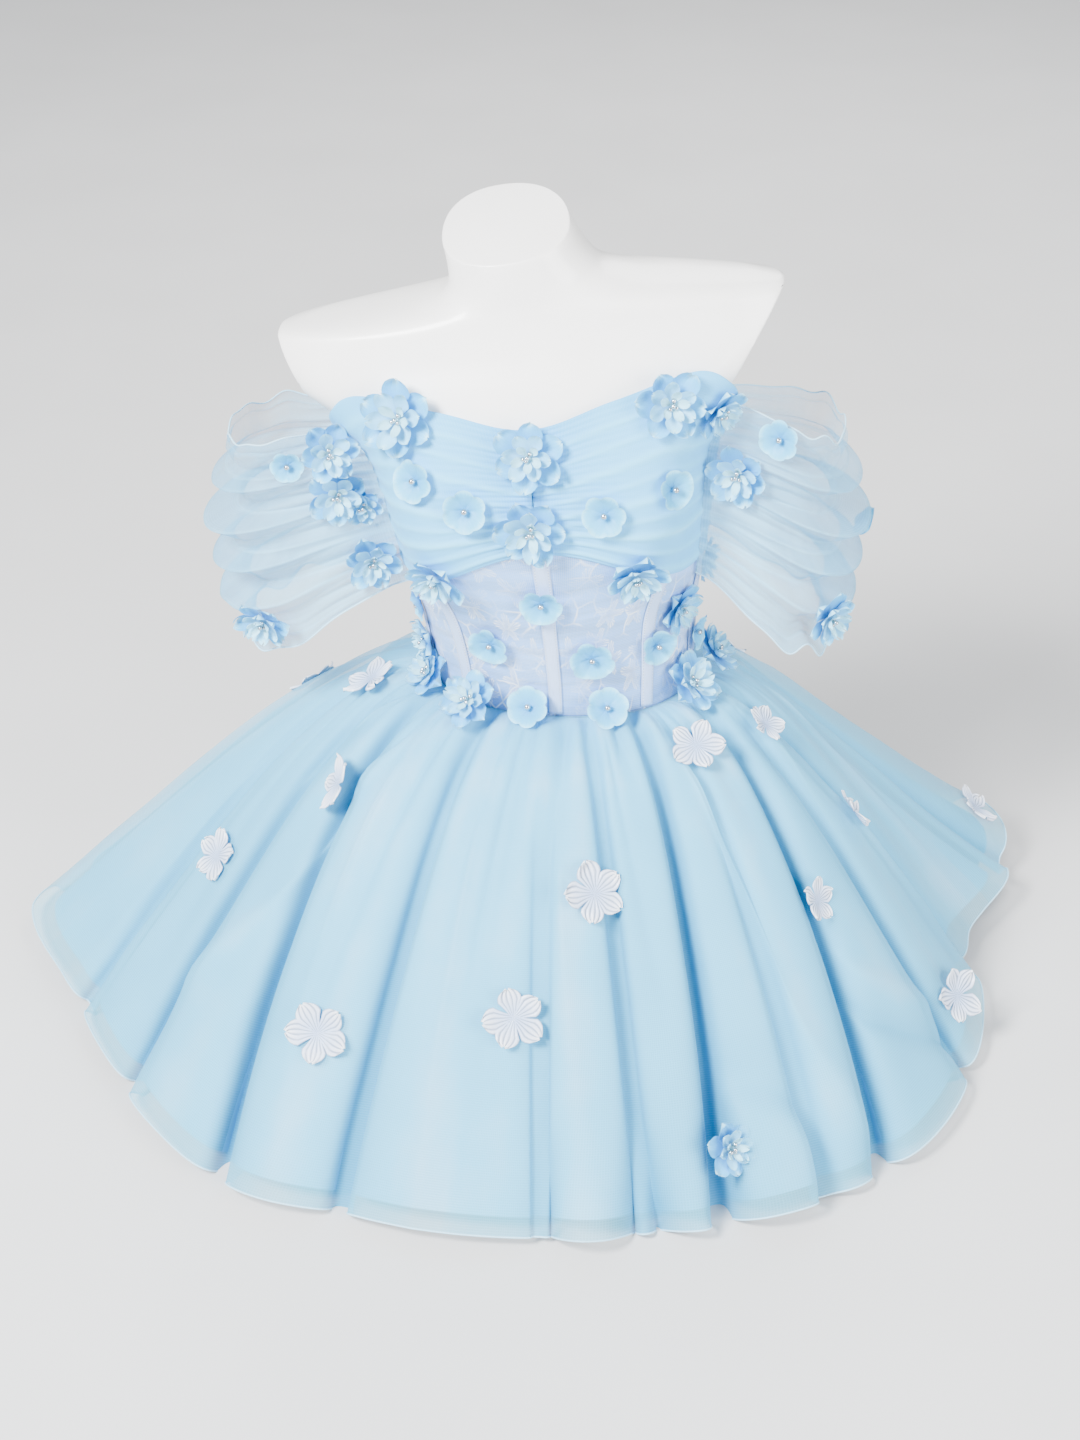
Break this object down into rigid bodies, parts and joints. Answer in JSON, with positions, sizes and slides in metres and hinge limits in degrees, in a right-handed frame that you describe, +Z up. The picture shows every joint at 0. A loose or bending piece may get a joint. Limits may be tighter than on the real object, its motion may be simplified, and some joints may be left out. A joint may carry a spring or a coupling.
{
  "type": "homecoming dress on a limbless dress form",
  "caption": "Short off-the-shoulder party dress with a boned bodice, sheer puff sleeves, a gathered net skirt and sewn-on flowers, standing on a limbless dress form.",
  "frame": {"origin": "on the surface the dress form stands on, in the middle of its flat foot", "axes": "+Z up, -Y the front of the dress, +X the side that is on the right when the front is looked at"},
  "size_m": [0.9191, 0.7746, 0.7482],
  "materials": {
    "form_plastic": "glossy white",
    "corset_satin": "satin with a lace pattern",
    "sheer_net": "sheer net",
    "skirt_net": "net over an opaque lining",
    "blue_net": "matt net petals",
    "light_blue_net": "matt net petals",
    "white_satin": "ribbed satin petals"
  },
  "bodies": {
    "root": {"back_zip_flap": "corset_satin", "bodice_centre_back_left": "corset_satin", "bodice_centre_back_right": "corset_satin", "bodice_centre_front_left": "corset_satin", "bodice_centre_front_right": "corset_satin", "bodice_side_back_left": "corset_satin", "bodice_side_back_right": "corset_satin", "bodice_side_front_left": "corset_satin", "bodice_side_front_right": "corset_satin", "bone_centre": "corset_satin", "bone_front_left": "corset_satin", "bone_front_right": "corset_satin", "bone_side_left": "corset_satin", "bone_side_right": "corset_satin", "bust_cover_left": "sheer_net", "bust_cover_right": "sheer_net", "dress_form": "form_plastic", "flower_armhole_left": "blue_net", "flower_bust_centre": "blue_net", "flower_cup_bust_left": "light_blue_net", "flower_cup_bust_mid_left": "light_blue_net", "flower_cup_bust_mid_right": "light_blue_net", "flower_cup_bust_right": "light_blue_net", "flower_cup_centre": "light_blue_net", "flower_cup_left": "light_blue_net", "flower_cup_right": "light_blue_net", "flower_cup_side_right": "light_blue_net", "flower_cup_sleeve_right": "light_blue_net", "flower_cup_waist_left": "light_blue_net", "flower_cup_waist_right": "light_blue_net", "flower_neck_centre": "blue_net", "flower_neck_left": "blue_net", "flower_neck_left_side": "blue_net", "flower_neck_right": "blue_net", "flower_neck_right_side": "blue_net", "flower_satin_1": "white_satin", "flower_satin_2": "white_satin", "flower_satin_3": "white_satin", "flower_satin_4": "white_satin", "flower_satin_5": "white_satin", "flower_satin_6": "white_satin", "flower_satin_7": "white_satin", "flower_satin_8": "white_satin", "flower_satin_9": "white_satin", "flower_side_right": "blue_net", "flower_sleeve_left_front": "blue_net", "flower_sleeve_left_hem": "blue_net", "flower_sleeve_right_front": "blue_net", "flower_sleeve_right_hem": "blue_net", "flower_under_bust_left": "blue_net", "flower_under_bust_right": "blue_net", "flower_waist_left": "blue_net", "flower_waist_right": "blue_net", "skirt_back_left": "skirt_net", "skirt_back_right": "skirt_net", "skirt_front": "skirt_net", "sleeve_left": "sheer_net", "sleeve_right": "sheer_net", "underskirt_back": "skirt_net", "underskirt_front": "skirt_net"}
  },
  "joints": []
}
